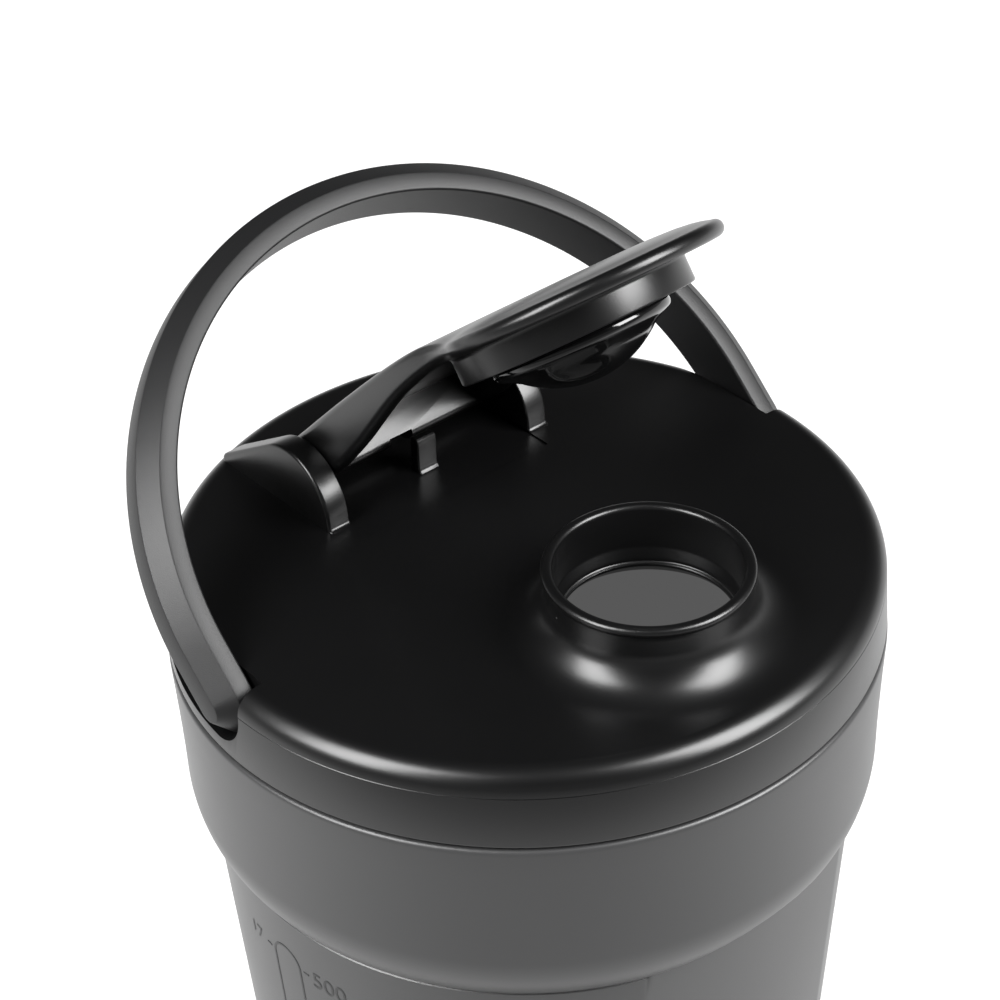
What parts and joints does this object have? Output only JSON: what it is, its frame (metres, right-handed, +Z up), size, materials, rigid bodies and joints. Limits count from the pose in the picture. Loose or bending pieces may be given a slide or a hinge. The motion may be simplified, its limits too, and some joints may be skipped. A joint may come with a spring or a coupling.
{
  "type": "shaker bottle",
  "caption": "Tapering drink shaker with a screw-on lid, a flip cap over a round drinking spout, a fold-down carry handle and a loose wire whisk ball",
  "frame": {"origin": "centre of the base, on the surface the bottle stands on", "axes": "+Z up along the cup's axis; -Y towards the drinking spout; +Y towards the flip cap's hinge; X along the axes of the cap's hinge and the handle's pivots"},
  "size_m": [0.101, 0.0992, 0.2118],
  "materials": {
    "cup_plastic": "smooth semi-matte mid-grey plastic",
    "lid_plastic": "satin black plastic with a fine grain",
    "seal_rubber": "glossy black soft rubber",
    "pin_steel": "plain stainless pin",
    "wire_steel": "polished stainless wire"
  },
  "bodies": {
    "cup": {"cup": "cup_plastic"},
    "seal": {"lid_gasket": "seal_rubber"},
    "lid": {"lid": "lid_plastic", "hinge_pin": "pin_steel"},
    "cap": {"flip_cap": "lid_plastic", "cap_plug": "seal_rubber"},
    "handle": {"handle": "lid_plastic"},
    "whisk": {"whisk_ball": "wire_steel"}
  },
  "joints": [
    {"name": "lid_lift", "type": "slide", "parent": "cup", "child": "seal", "axis": [0, 0, 1], "range_m": [0, 0.008]},
    {"name": "lid_turn", "type": "hinge", "parent": "seal", "child": "lid", "pos_m": [0, 0, 0.1514], "axis": [0, 0, 1], "range_deg": [0, 360]},
    {"name": "cap_flip", "type": "hinge", "parent": "lid", "child": "cap", "pos_m": [0, 0.0292, 0.15782], "axis": [-1, 0, 0], "range_deg": [-38, 47]},
    {"name": "handle_swing", "type": "hinge", "parent": "lid", "child": "handle", "pos_m": [0, 0.004, 0.1499], "axis": [-1, 0, 0], "range_deg": [-47, 43]},
    {"name": "ball_travel", "type": "slide", "parent": "cup", "child": "whisk", "axis": [0, 0, 1], "range_m": [0, 0.07]}
  ],
  "couplings": [
    {"joint": "lid_lift", "follows": "lid_turn", "m_per_rad": 0.0012732}
  ]
}
